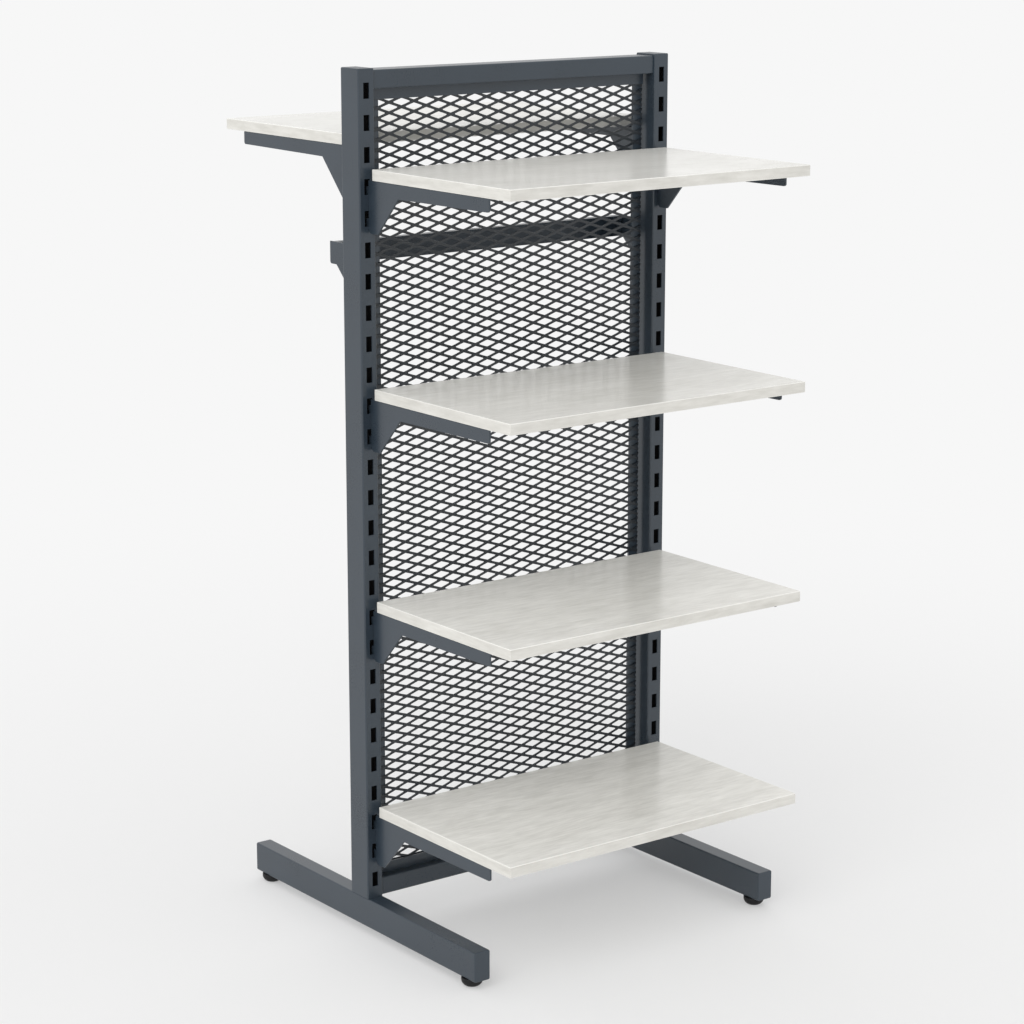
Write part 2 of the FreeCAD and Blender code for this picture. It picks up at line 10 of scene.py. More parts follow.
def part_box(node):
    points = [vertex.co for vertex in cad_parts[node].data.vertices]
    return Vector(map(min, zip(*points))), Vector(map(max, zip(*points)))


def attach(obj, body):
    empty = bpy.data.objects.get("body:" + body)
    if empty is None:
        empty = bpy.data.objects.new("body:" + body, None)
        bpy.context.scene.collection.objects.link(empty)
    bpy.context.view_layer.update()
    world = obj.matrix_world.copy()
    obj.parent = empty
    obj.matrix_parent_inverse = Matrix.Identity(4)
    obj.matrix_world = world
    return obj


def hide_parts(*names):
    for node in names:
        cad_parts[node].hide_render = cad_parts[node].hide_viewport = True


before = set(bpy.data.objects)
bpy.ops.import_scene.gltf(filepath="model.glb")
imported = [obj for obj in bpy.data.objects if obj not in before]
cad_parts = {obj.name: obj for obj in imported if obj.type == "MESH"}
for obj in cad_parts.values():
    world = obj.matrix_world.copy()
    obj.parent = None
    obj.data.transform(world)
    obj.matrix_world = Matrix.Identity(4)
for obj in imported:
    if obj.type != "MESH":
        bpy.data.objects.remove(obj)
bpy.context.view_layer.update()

bl_info = {
    "name": "Gondola Shelving",
    "version": (1, 0, 0),
    "blender": (4, 5, 0),
    "location": "3D View > Sidebar > Shelving",
    "description": "Dresses one bay of double-sided shop shelving: paint, mesh, boards and fittings",
    "category": "Object",
}

SIDES = ("left", "right")
ENDS = ("front", "rear")
SHELVES = tuple(f"front_shelf_{number}" for number in range(1, 5)) + ("rear_shelf",)
MM = 0.001

# Metres within which places count as the same: to pick parts, and to cut and merge
NEAR = 1e-5
FINE = 1e-6
# Cosine above which two directions count as one
ALIGNED = 0.99
# Least upward or downward part of the normal on the rounding of a level edge that takes the painted
# highlight
LEVEL_LEAN = 0.2
# Where most values of a noise lie
NOISE_LOW, NOISE_HIGH = 0.3, 0.7
# Fine skin: scales of its clouds and flecks, and how far each moves the tone
CLOUD_SCALE, FLECK_SCALE = 7.0, 2300.0
CLOUD_TONE, FLECK_TONE = 1.0, 0.6
# Fine skin: shares of clouds and dimples in its gloss, and where most of their sum lies
GLOSS_CLOUD, GLOSS_DIMPLES, GLOSS_LOW, GLOSS_HIGH = 0.6, 0.4, 0.35, 0.65
# Oak print: stretch and scale of the noise that bends its grain, and how far it bends, in metres
BEND_STRETCH, BEND_SCALE, BEND_REACH = (1.0, 3.5, 3.5), 1.4, (0.0, 0.05, 0.05)
# Oak print: least and greatest roughness, and level of its mirroring
PRINT_ROUGH, PRINT_SHINE = (0.17, 0.25), 0.16
# Layers of the oak print: scale along and across the grain, detail, roughness and weight
OAK_LAYERS = {
    "cloud": ((5.0, 14.0, 14.0), 3.0, 0.55, 0.26),
    "streaks": ((18.0, 80.0, 80.0), 4.0, 0.62, 0.46),
    "lines": ((30.0, 210.0, 210.0), 2.0, 0.50, 0.22),
    "pores": ((55.0, 620.0, 620.0), 2.0, 0.60, 0.06),
}
# Zinc plate: scale of its clouds, and the least and greatest tone and roughness in them
ZINC_SCALE, ZINC_TONE, ZINC_ROUGH = 420.0, (0.82, 1.12), (0.26, 0.42)
# Depth below a tube's outside from which its walls count as inside
WALL_MARGIN = 1.0 * MM
# Diamonds to spare across and up the sheet, cut off at its edges
SPARE_DIAMONDS = 3
# Material slots of a board; the last paints a highlight along its edges
FACE, BAND_ALONG, BAND_ACROSS, ARRIS_HIGHLIGHT = range(4)
# Steps round a pad, round a stud or a screw head, and round the floor
PAD_STEPS, SMALL_STEPS, FLOOR_STEPS = 48, 24, 96
# Where the flat crest of a thread starts and ends, as shares of its pitch
CREST_START, CREST_END = 0.44, 0.56
# Turns of thread to spare below a stud, and in all
SPARE_BELOW, SPARE_TURNS = 2, 4
# Cross recess of a screw: half its span as a share of the head's radius, how far its arms are narrowed
# from a third of the span, how far it tapers, and its depth as a share of the head's height
CROSS_SPAN, CROSS_ARM, CROSS_TAPER, CROSS_DEPTH = 0.55, 0.75, 0.6, 0.6
# Rings of a screw head: shares of its radius, and of its height down from the top
HEAD_RINGS = ((0.72, 0.0), (0.93, -0.22), (1.0, -0.55), (1.0, -1.0))
# Camera: width of the sensor in millimetres and farthest distance seen in metres
SENSOR_WIDTH, FAR_CLIP = 36.0, 400.0


def colour(name, description, default):
    """A colour that the user can change, in linear values."""
    return FloatVectorProperty(
        name=name, description=description, subtype="COLOR", size=3, min=0, max=1, default=default
    )


def length(name, description, default):
    """A size that the user can change, in metres."""
    return FloatProperty(
        name=name, description=description, default=default, min=0, unit="LENGTH", precision=5
    )


class PaintFinish(PropertyGroup):
    """Powder coat of the steel parts."""

    frame_paint: colour(
        "Frame paint", "Slate grey of the tubes, channels and brackets", (0.028, 0.041, 0.056)
    )
    # Painted shade: the frame's grey darkened for the strands of the mesh
    shaded_mesh_paint: colour("Mesh paint", "The frame grey darkened as painted shade on the strands", (0.015, 0.020, 0.026))
    # Painted shade: the unpowdered walls inside the uprights, darkened to near black
    inner_shade: colour(
        "Tube lining", "Unpowdered walls inside the uprights, darkened as painted shade in the hollow", (0.011, 0.011, 0.012)
    )
    peel: length("Orange peel", "Width of one dimple in the powder coat", 1.3 * MM)
    drift: FloatProperty(
        name="Drift", description="How far the tone wanders over a tube", default=0.10, min=0, max=1
    )


class BoardFinish(PropertyGroup):
    """Printed melamine boards with a glued edge band."""

    pale_print: colour("Pale print", "Ground colour of the oak print", (0.940, 0.929, 0.887))
    dark_print: colour("Dark print", "Colour of the grain lines", (0.640, 0.629, 0.586))
    band_pale: colour("Band ground", "Ground colour of the edge band", (0.835, 0.822, 0.777))
    band_dark: colour("Band grain", "Grain lines of the edge band", (0.595, 0.581, 0.537))
    # Paler than the print: a painted highlight along the board's edges
    arris_highlight_pale: colour("Arris ground", "Ground colour of the painted highlight on the eased edges", (0.955, 0.945, 0.908))
    arris_highlight_dark: colour("Arris grain", "Grain lines of the painted highlight on the eased edges", (0.820, 0.808, 0.766))
    band: length("Band thickness", "Width of the edge band seen on the board's faces", 1.0 * MM)
    arris: length("Arris", "Rounding of the board's edges", 1.0 * MM)


class PanelSizes(PropertyGroup):
    """The expanded-metal sheet."""

    long_way: length("Long way", "Pitch of the diamonds across the bay", 48.0 * MM)
    short_way: length("Short way", "Pitch of the diamonds up the sheet", 16.5 * MM)
    strand: length("Strand", "Width of one strand", 4.2 * MM)
    sheet: length("Sheet", "Thickness of the metal", 1.1 * MM)
    lean: length("Lean", "How far a strand's edges stand out of the sheet", 0.45 * MM)
    blunt: FloatProperty(
        name="Blunt ends", description="Share cut from a hole's sharp ends", default=0.08, min=0, max=0.5
    )


class FittingSizes(PropertyGroup):
    """Caps, levellers and screws."""

    cap_colour: colour("Cap plastic", "Grey of the tube caps", (0.028, 0.041, 0.056))
    cap_corner: length("Cap corner", "Corner rounding of a cap's flange", 3.0 * MM)
    cap_lip: length("Cap lip", "Rounding of a cap's outer edge", 1.5 * MM)
    cap_wall: length("Tube wall", "Wall of the tube that a cap's plug fits inside", 2.2 * MM)
    plug: length("Plug", "Length of a cap's plug", 12.0 * MM)
    pad_colour: colour("Pad plastic", "Black of the leveller pads", (0.008, 0.008, 0.009))
    pad_floor: length("Pad floor", "Radius of a pad where it stands on the floor", 11.0 * MM)
    pad_shoulder: length("Pad shoulder", "Height at which a pad reaches its full width", 6.5 * MM)
    pad_round: length("Pad rounding", "Softening of a pad's bowl", 3.6 * MM)
    pad_lip: length("Pad lip", "Rounding of a pad's upper edge", 0.8 * MM)
    socket_gap: length("Socket gap", "Gap round the stud in its socket", 0.2 * MM)
    zinc: colour("Zinc", "Bright zinc of studs, nuts and screws", (0.60, 0.61, 0.62))
    pitch: length("Thread pitch", "Rise of a stud's thread in one turn", 1.25 * MM)
    thread: length("Thread depth", "Depth of a stud's thread", 0.65 * MM)
    head_radius: length("Screw head", "Radius of a board screw's head", 4.5 * MM)
    head_height: length("Head height", "Height of a board screw's head", 2.4 * MM)
    flange: length("Flange", "Thickness of the bracket flange under a board", 3.0 * MM)
    screw_inset: length("Screw inset", "Screws, in from the middle of an upright", 15.0 * MM)
    screw_near: length("Near screw", "Nearer screw, out from the face of an upright", 55.0 * MM)
    screw_far: length("Far screw", "Farther screw, out from the face of an upright", 270.0 * MM)


class StageSettings(PropertyGroup):
    """Camera, light and floor."""

    camera_place: FloatVectorProperty(
        name="Camera", description="Where the camera stands", subtype="TRANSLATION", unit="LENGTH",
        size=3, default=(-2.7629, -3.6728, 1.7330),
    )
    camera_turn: FloatVectorProperty(
        name="Camera turn", description="How the camera is turned", subtype="EULER", unit="ROTATION",
        size=3, default=(radians(77.068), 0.0, radians(-36.986)),
    )
    lens: FloatProperty(name="Lens", description="Focal length in millimetres", default=98.31, min=10)
    sun_from: FloatVectorProperty(
        name="Key light", description="Direction that the key light comes from", subtype="DIRECTION",
        size=3, default=(-0.68, -0.42, 0.58),
    )
    sun_level: FloatProperty(
        name="Key level", description="Strength of the key light", default=1.1, min=0
    )
    back_from: FloatVectorProperty(
        name="Back light", description="Direction that the back light comes from", subtype="DIRECTION",
        size=3, default=(0.20, 0.65, 0.80),
    )
    back_level: FloatProperty(
        name="Back level", description="Strength of the back light", default=0.2, min=0
    )
    spread: FloatProperty(
        name="Spread", description="Width of each light seen from the floor", subtype="ANGLE",
        default=radians(50),
    )
    sky_level: FloatProperty(
        name="Sky level", description="Strength of the light all round", default=0.80, min=0
    )
    white: FloatProperty(
        name="Background", description="Level of the background where it is seen", default=0.93,
        min=0, max=1,
    )
    floor_colour: colour("Floor", "Pale floor near the object", (0.83, 0.83, 0.83))
    floor_radius: length("Floor radius", "Reach of the floor", 120.0)
    fade_from: length("Fade from", "Distance at which the floor starts to turn white", 0.6)
    fade_to: length("Fade to", "Distance at which the floor has turned white", 3.2)
    fade_share: FloatProperty(
        name="Near share", description="How white the floor is near the object", default=0.35, min=0, max=1
    )


def put(tree, kind, inputs=None, **settings):
    """Adds a node with its settings, and sets or links its inputs."""
    made = tree.nodes.new(kind)
    for name, value in settings.items():
        setattr(made, name, value)
    for socket, value in (inputs or {}).items():
        if isinstance(value, bpy.types.NodeSocket):
            tree.links.new(value, made.inputs[socket])
        else:
            made.inputs[socket].default_value = value
    return made


def new_group(name, takes, gives):
    """An empty node group with named inputs and outputs, and its two end nodes."""
    tree = bpy.data.node_groups.new(name, "ShaderNodeTree")
    for label, kind in takes:
        tree.interface.new_socket(name=label, in_out="INPUT", socket_type=f"NodeSocket{kind}")
    for label, kind in gives:
        tree.interface.new_socket(name=label, in_out="OUTPUT", socket_type=f"NodeSocket{kind}")
    return tree, tree.nodes.new("NodeGroupInput"), tree.nodes.new("NodeGroupOutput")


def noise(tree, place, scale, detail=2.0, rough=0.5):
    """A noise value at a place."""
    return put(
        tree, "ShaderNodeTexNoise",
        {"Vector": place, "Scale": scale, "Detail": detail, "Roughness": rough},
    ).outputs["Fac"]


def stretched(tree, place, scale):
    """A place scaled along the three axes."""
    return put(tree, "ShaderNodeMapping", {"Vector": place, "Scale": scale}).outputs["Vector"]


def spread(tree, value, low, high):
    """A noise value opened out to the range from low to high."""
    return put(
        tree, "ShaderNodeMapRange",
        {"Value": value, "From Min": NOISE_LOW, "From Max": NOISE_HIGH, "To Min": low, "To Max": high},
    ).outputs["Result"]


def sums(tree, kind, first, second):
    """Two values joined by a sum of the kind given."""
    return put(tree, "ShaderNodeMath", {0: first, 1: second}, operation=kind).outputs["Value"]


def seen_rays(tree):
    """One for rays from the camera, from a mirror or through glass, and zero for the rest."""
    ray = put(tree, "ShaderNodeLightPath")
    seen = sums(tree, "MAXIMUM", ray.outputs["Is Camera Ray"], ray.outputs["Is Glossy Ray"])
    return sums(tree, "MAXIMUM", seen, ray.outputs["Is Transmission Ray"])


def fine_skin():
    """Node group for coated steel and moulded plastic: tone that drifts, fine dimples and uneven gloss."""
    if "Fine Skin" in bpy.data.node_groups:
        return bpy.data.node_groups["Fine Skin"]
    tree, takes, gives = new_group(
        "Fine Skin",
        (("Place", "Vector"), ("Colour", "Color"), ("Drift", "Float"), ("Dimples", "Float"),
         ("Dull", "Float"), ("Glossy", "Float")),
        (("Colour", "Color"), ("Roughness", "Float"), ("Height", "Float")),
    )
    place = takes.outputs["Place"]
    dimples = noise(tree, place, takes.outputs["Dimples"], detail=1.5, rough=0.45)
    cloud = noise(tree, place, CLOUD_SCALE, detail=3.0, rough=0.55)
    fleck = noise(tree, place, FLECK_SCALE, detail=1.0)
    wander = sums(
        tree, "ADD", spread(tree, cloud, -CLOUD_TONE, CLOUD_TONE),
        spread(tree, fleck, -FLECK_TONE, FLECK_TONE),
    )
    share = sums(tree, "MULTIPLY", wander, takes.outputs["Drift"])
    toned = put(
        tree, "ShaderNodeHueSaturation",
        {"Color": takes.outputs["Colour"], "Value": sums(tree, "ADD", share, 1.0)},
    )
    uneven = sums(
        tree, "ADD", sums(tree, "MULTIPLY", cloud, GLOSS_CLOUD),
        sums(tree, "MULTIPLY", dimples, GLOSS_DIMPLES),
    )
    gloss = put(
        tree, "ShaderNodeMapRange",
        {"Value": uneven, "From Min": GLOSS_LOW, "From Max": GLOSS_HIGH,
         "To Min": takes.outputs["Glossy"], "To Max": takes.outputs["Dull"]},
    )
    tree.links.new(toned.outputs["Color"], gives.inputs["Colour"])
    tree.links.new(gloss.outputs["Result"], gives.inputs["Roughness"])
    tree.links.new(dimples, gives.inputs["Height"])
    return tree


def oak_print():
    """Node group for a pale printed oak: cloudy ground, streaks and lines of grain along X, and pores."""
    if "Oak Print" in bpy.data.node_groups:
        return bpy.data.node_groups["Oak Print"]
    tree, takes, gives = new_group(
        "Oak Print",
        (("Place", "Vector"), ("Pale", "Color"), ("Dark", "Color")),
        (("Colour", "Color"), ("Roughness", "Float"), ("Height", "Float")),
    )
    place = takes.outputs["Place"]
    bend = put(
        tree, "ShaderNodeTexNoise",
        {"Vector": stretched(tree, place, BEND_STRETCH), "Scale": BEND_SCALE, "Detail": 1.0},
    )
    sway = put(
        tree, "ShaderNodeVectorMath", {0: bend.outputs["Color"], 1: BEND_REACH}, operation="MULTIPLY"
    )
    bent = put(
        tree, "ShaderNodeVectorMath", {0: place, 1: sway.outputs["Vector"]}, operation="ADD"
    ).outputs["Vector"]
    share, layers = 0.0, {}
    for layer, (scale, detail, rough, weight) in OAK_LAYERS.items():
        layers[layer] = noise(tree, stretched(tree, bent, scale), 1.0, detail, rough)
        weighed = sums(tree, "MULTIPLY", spread(tree, layers[layer], 0.0, 1.0), weight)
        share = sums(tree, "ADD", weighed, share)
    mixed = put(
        tree, "ShaderNodeMix", {0: share, 6: takes.outputs["Pale"], 7: takes.outputs["Dark"]},
        data_type="RGBA",
    )
    tree.links.new(mixed.outputs[2], gives.inputs["Colour"])
    tree.links.new(spread(tree, layers["streaks"], *PRINT_ROUGH), gives.inputs["Roughness"])
    tree.links.new(layers["pores"], gives.inputs["Height"])
    return tree


def new_material(name):
    """An empty material: its tree, its Principled shader and the object's own coordinates."""
    made = bpy.data.materials.new(name)
    made.use_nodes = True
    tree = made.node_tree
    shader = tree.nodes["Principled BSDF"]
    place = put(tree, "ShaderNodeTexCoord").outputs["Object"]
    return made, tree, shader, place


def dress(tree, shader, skin, depth, strength):
    """Feeds a skin group's colour, roughness and bump to the shader."""
    bump = put(
        tree, "ShaderNodeBump",
        {"Height": skin.outputs["Height"], "Distance": depth, "Strength": strength},
    )
    tree.links.new(skin.outputs["Colour"], shader.inputs["Base Color"])
    tree.links.new(skin.outputs["Roughness"], shader.inputs["Roughness"])
    tree.links.new(bump.outputs["Normal"], shader.inputs["Normal"])


def skin_material(name, tint, drift, dimple, dull, glossy, shine, depth, strength):
    """Coated steel or moulded plastic."""
    made, tree, shader, place = new_material(name)
    shader.inputs["Specular IOR Level"].default_value = shine
    skin = put(
        tree, "ShaderNodeGroup",
        {"Place": place, "Colour": (*tint, 1.0), "Drift": drift, "Dimples": 1.0 / dimple,
         "Dull": dull, "Glossy": glossy},
        node_tree=fine_skin(),
    )
    dress(tree, shader, skin, depth, strength)
    return made


def print_material(name, pale, dark, turn):
    """Printed oak whose grain runs along X, or turned about Z."""
    made, tree, shader, place = new_material(name)
    if turn:
        about = put(tree, "ShaderNodeMapping", {"Vector": place, "Rotation": (0.0, 0.0, turn)})
        place = about.outputs["Vector"]
    skin = put(
        tree, "ShaderNodeGroup",
        {"Place": place, "Pale": (*pale, 1.0), "Dark": (*dark, 1.0)}, node_tree=oak_print(),
    )
    shader.inputs["Specular IOR Level"].default_value = PRINT_SHINE
    dress(tree, shader, skin, depth=0.05 * MM, strength=0.35)
    return made


def zinc_material(tint):
    """Bright zinc plate, a little cloudy."""
    if "Zinc plate" in bpy.data.materials:
        return bpy.data.materials["Zinc plate"]
    made, tree, shader, place = new_material("Zinc plate")
    cloud = noise(tree, place, ZINC_SCALE, detail=3.0, rough=0.6)
    shade = put(
        tree, "ShaderNodeHueSaturation",
        {"Color": (*tint, 1.0), "Value": spread(tree, cloud, *ZINC_TONE)},
    )
    tree.links.new(shade.outputs["Color"], shader.inputs["Base Color"])
    tree.links.new(spread(tree, cloud, *ZINC_ROUGH), shader.inputs["Roughness"])
    shader.inputs["Metallic"].default_value = 1.0
    return made


def new_piece(bm, name, body, materials, stands_for=()):
    """Makes an object from a finished bmesh, and gives it its body and its materials."""
    mesh = bpy.data.meshes.new(name)
    bm.to_mesh(mesh)
    bm.free()
    for material in materials:
        mesh.materials.append(material)
    piece = bpy.data.objects.new(name, mesh)
    bpy.context.scene.collection.objects.link(piece)
    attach(piece, body)
    if stands_for:
        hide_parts(*stands_for)


def paint_nodes(names, material):
    """Gives CAD nodes a material."""
    for name in names:
        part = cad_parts[name]
        if not part.material_slots:
            part.data.materials.append(material)
        for slot in part.material_slots:
            slot.material = material


def shade_tube_inside(name, material):
    """Gives the walls inside a hollow CAD node a material of their own, which paints shade in the hollow.
    """
    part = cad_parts[name]
    low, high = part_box(name)
    along = max(range(3), key=lambda axis: high[axis] - low[axis])
    across = [axis for axis in range(3) if axis != along]
    part.data.materials.append(material)
    places = [part.matrix_world @ vert.co for vert in part.data.vertices]
    for face in part.data.polygons:
        corners = [places[index] for index in face.vertices]
        depths = [min(corner[a] - low[a], high[a] - corner[a]) for corner in corners for a in across]
        if min(depths) > WALL_MARGIN:
            face.material_index = len(part.data.materials) - 1


def soften(bm, edges, offset, segments):
    """Rounds edges, and shades the rounding smooth."""
    made = bmesh.ops.bevel(
        bm, geom=edges, offset=offset, segments=segments, profile=0.5, affect="EDGES", material=-1,
        clamp_overlap=True,
    )
    for face in made["faces"]:
        face.smooth = True


def farthest(bm, direction):
    """The face of a bmesh that lies farthest along a direction and looks that way."""
    direction = Vector(direction)
    looking = [face for face in bm.faces if face.normal.dot(direction) > ALIGNED]
    return max(looking, key=lambda face: face.calc_center_median().dot(direction))


def drawn_in(bm, face, width):
    """Draws a face in by a width, and gives the rim that this leaves round it."""
    return bmesh.ops.inset_region(
        bm, faces=[face], thickness=width, use_boundary=True, use_even_offset=True
    )["faces"]


def box_of(bm, low, high):
    """A plain block between two corners."""
    middle, sides = (low + high) / 2, high - low
    spot = Matrix.Translation(middle) @ Matrix.Diagonal((*sides, 1))
    bmesh.ops.create_cube(bm, size=1.0, matrix=spot)
    bm.normal_update()


def all_of(bm):
    """Every vertex, edge and face of a bmesh."""
    return bm.verts[:] + bm.edges[:] + bm.faces[:]


def cut_off(bm, corner, outward):
    """Cuts away what lies beyond a plane."""
    bmesh.ops.bisect_plane(
        bm, geom=all_of(bm), plane_co=corner, plane_no=outward, clear_outer=True, dist=FINE
    )


def drawn_line(bm, outline):
    """Draws an open line through pairs of radius and height, and gives its points and edges."""
    points = [bm.verts.new((radius, 0, height)) for radius, height in outline]
    return points + [bm.edges.new(pair) for pair in zip(points, points[1:])]


def turned_shape(bm, outline, steps):
    """Spins an outline of radius and height pairs round the Z axis, and closes it."""
    bmesh.ops.spin(
        bm, geom=drawn_line(bm, outline), cent=(0, 0, 0), axis=(0, 0, 1), angle=2 * pi, steps=steps,
        use_merge=True, use_duplicate=False,
    )
    bmesh.ops.remove_doubles(bm, verts=bm.verts, dist=FINE)
    bmesh.ops.dissolve_degenerate(bm, edges=bm.edges, dist=FINE / 10)
    bmesh.ops.recalc_face_normals(bm, faces=bm.faces)


def level_ring(bm, radius, height):
    """The ring of edges at a radius and a height of a turned shape."""
    def on_ring(vert):
        return abs(vert.co.xy.length - radius) < NEAR and abs(vert.co.z - height) < NEAR
    return [edge for edge in bm.edges if all(on_ring(vert) for vert in edge.verts)]


class SHELVING_OT_paint_frame(Operator):
    """Powder coats the tubes, channels, brackets and bar, paints shade on the walls inside the uprights and
    zinc plates the nuts
    """

    bl_idname = "shelving.paint_frame"
    bl_label = "Paint Frame"

    def execute(self, context):
        paint = context.scene.shelving_paint
        coat = skin_material(
            "Powder coat", paint.frame_paint, paint.drift, paint.peel,
            dull=0.34, glossy=0.26, shine=0.62, depth=0.06 * MM, strength=0.30,
        )
        stems = ("upright", "foot", "top_beam", "bottom_beam", "panel_", "hang_bar")
        names = [
            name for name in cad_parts
            if "bracket" in name or (name.startswith(stems) and "cap" not in name)
        ]
        paint_nodes(names, coat)
        # The walls inside each upright take a near-black coat: painted shade in the hollow
        inner_shade_coat = skin_material(
            "Tube lining", paint.inner_shade, paint.drift, paint.peel,
            dull=0.80, glossy=0.70, shine=0.10, depth=0.05 * MM, strength=0.25,
        )
        for side in SIDES:
            shade_tube_inside(f"upright_{side}", inner_shade_coat)
        paint_nodes(["leveller_nuts"], zinc_material(context.scene.shelving_fittings.zinc))
        return {"FINISHED"}


class SHELVING_OT_make_mesh(Operator):
    """Makes the expanded-metal sheet: one slit diamond, repeated over the panel and thickened"""

    bl_idname = "shelving.make_mesh"
    bl_label = "Make Mesh Panel"

    def execute(self, context):
        paint, sizes = context.scene.shelving_paint, context.scene.shelving_panel
        # The mesh coat carries the darkened grey, painted shade on the strands
        coat = skin_material(
            "Shaded mesh coat", paint.shaded_mesh_paint, paint.drift, paint.peel,
            dull=0.46, glossy=0.36, shine=0.64, depth=0.05 * MM, strength=0.25,
        )
        low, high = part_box("expanded_mesh")
        bm = bmesh.new()
        self.slit_diamond(bm, sizes)
        across = int((high.x - low.x) / sizes.long_way) + SPARE_DIAMONDS
        upward = int((high.z - low.z) / sizes.short_way) + SPARE_DIAMONDS
        self.repeat(bm, (sizes.long_way / 2, 0, sizes.short_way / 2), 2)
        self.repeat(bm, (sizes.long_way, 0, 0), across)
        self.repeat(bm, (0, 0, sizes.short_way), upward)
        bmesh.ops.remove_doubles(bm, verts=bm.verts, dist=2 * NEAR)
        start = Vector(((low.x + high.x) / 2 - across * sizes.long_way / 2, 0, low.z - sizes.short_way))
        bmesh.ops.translate(bm, vec=start, verts=bm.verts)
        for way, corner in ((-1, low), (1, high)):
            cut_off(bm, corner, (way, 0, 0))
            cut_off(bm, corner, (0, 0, way))
        bmesh.ops.recalc_face_normals(bm, faces=bm.faces)
        bmesh.ops.solidify(bm, geom=bm.faces[:], thickness=sizes.sheet)
        self.centre(bm, (low.y + high.y) / 2)
        new_piece(bm, "mesh_sheet", "frame", [coat], ["expanded_mesh"])
        return {"FINISHED"}

    def slit_diamond(self, bm, sizes):
        """One diamond of the sheet with its hole, the hole's lower side forward and its upper side back."""
        side, rise = sizes.long_way / 2, sizes.short_way / 2
        tips = ((-side, 0, 0), (0, 0, -rise), (side, 0, 0), (0, 0, rise))
        bm.faces.new([bm.verts.new(tip) for tip in tips])
        bmesh.ops.subdivide_edges(bm, edges=bm.edges[:], cuts=2)
        hole = bm.faces[:]
        drawn_in(bm, hole[0], sizes.strand / 2)
        rim = hole[0].verts[:]
        for vert in rim:
            if abs(vert.co.z) < FINE:
                vert.co.x *= 1 - sizes.blunt
            elif abs(vert.co.x) < FINE:
                vert.co.z *= 1 - sizes.blunt / 2
            if abs(vert.co.z) > FINE:
                vert.co.y += sizes.lean if vert.co.z > 0 else -sizes.lean
        bmesh.ops.delete(bm, geom=hole, context="FACES_ONLY")

    def repeat(self, bm, step, count):
        """Sets copies of all that is there in a row."""
        geometry = all_of(bm)
        for number in range(1, count):
            made = bmesh.ops.duplicate(bm, geom=geometry)["geom"]
            verts = [part for part in made if isinstance(part, bmesh.types.BMVert)]
            bmesh.ops.translate(bm, vec=Vector(step) * number, verts=verts)

    def centre(self, bm, middle):
        """Brings the sheet's thickness to the middle of its place."""
        depths = [vert.co.y for vert in bm.verts]
        bmesh.ops.translate(bm, vec=(0, middle - (min(depths) + max(depths)) / 2, 0), verts=bm.verts)


class SHELVING_OT_make_caps(Operator):
    """Makes the moulded caps of the uprights and feet: a soft-edged flange with a plug behind it"""

    bl_idname = "shelving.make_caps"
    bl_label = "Make Tube Caps"

    def execute(self, context):
        sizes = context.scene.shelving_fittings
        plastic = skin_material(
            "Cap plastic", sizes.cap_colour, drift=0.06, dimple=0.7 * MM,
            dull=0.42, glossy=0.34, shine=0.62, depth=0.03 * MM, strength=0.25,
        )
        for side in SIDES:
            self.cap(f"upright_cap_{side}", f"upright_{side}", (0, 0, 1), sizes, plastic)
            self.cap(f"foot_cap_front_{side}", f"foot_{side}", (0, -1, 0), sizes, plastic)
            self.cap(f"foot_cap_rear_{side}", f"foot_{side}", (0, 1, 0), sizes, plastic)
        return {"FINISHED"}

    def cap(self, node, tube, outward, sizes, plastic):
        """One cap: the flange outside its tube, rounded, and the plug inside it."""
        outward = Vector(outward)
        low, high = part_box(node)
        tube_low, tube_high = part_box(tube)
        if sum(outward) > 0:
            low = Vector(b if n else a for a, b, n in zip(low, tube_high, outward))
        else:
            high = Vector(a if n else b for a, b, n in zip(tube_low, high, outward))
        bm = bmesh.new()
        box_of(bm, low, high)
        runs = {edge: (edge.verts[1].co - edge.verts[0].co).normalized() for edge in bm.edges}
        corners = [edge for edge, run in runs.items() if abs(run.dot(outward)) > ALIGNED]
        soften(bm, corners, sizes.cap_corner, segments=5)
        bm.normal_update()
        soften(bm, farthest(bm, outward).edges[:], sizes.cap_lip, segments=4)
        bm.normal_update()
        back = farthest(bm, -outward)
        drawn_in(bm, back, sizes.cap_wall)
        plug = bmesh.ops.extrude_discrete_faces(bm, faces=[back])["faces"]
        bmesh.ops.translate(bm, vec=outward * -sizes.plug, verts=plug[0].verts)
        new_piece(bm, f"{node}_moulding", "frame", [plastic], [node])


class SHELVING_OT_make_boards(Operator):
    """Makes the shelf boards: printed faces with a glued band round the edge"""

    bl_idname = "shelving.make_boards"
    bl_label = "Make Boards"

    def execute(self, context):
        finish = context.scene.shelving_boards
        materials = [
            print_material("Oak print", finish.pale_print, finish.dark_print, 0.0),
            print_material("Oak band along", finish.band_pale, finish.band_dark, 0.0),
            print_material("Oak band across", finish.band_pale, finish.band_dark, pi / 2),
            print_material("Oak arris highlight", finish.arris_highlight_pale, finish.arris_highlight_dark, 0.0),
        ]
        for shelf in SHELVES:
            node = f"{shelf}_board"
            bm = bmesh.new()
            box_of(bm, *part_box(node))
            for face in bm.faces:
                face.material_index = self.side(face)
            soften(bm, bm.edges[:], finish.arris, segments=3)
            bm.normal_update()
            # A rim one band wide round the top and the bottom, and the rounding of the level edges, take
            # the paler colours: a painted highlight along the edges
            for way in (1, -1):
                broad = farthest(bm, (0, 0, way))
                for rim in drawn_in(bm, broad, finish.band):
                    rim.material_index = ARRIS_HIGHLIGHT
            for face in bm.faces:
                if face.smooth and abs(face.normal.z) > LEVEL_LEAN:
                    face.material_index = ARRIS_HIGHLIGHT
            new_piece(bm, f"{shelf}_panel", shelf, materials, [node])
        return {"FINISHED"}

    def side(self, face):
        """The material slot for one side of a plain board."""
        if abs(face.normal.z) > ALIGNED:
            return FACE
        return BAND_ALONG if abs(face.normal.y) > ALIGNED else BAND_ACROSS


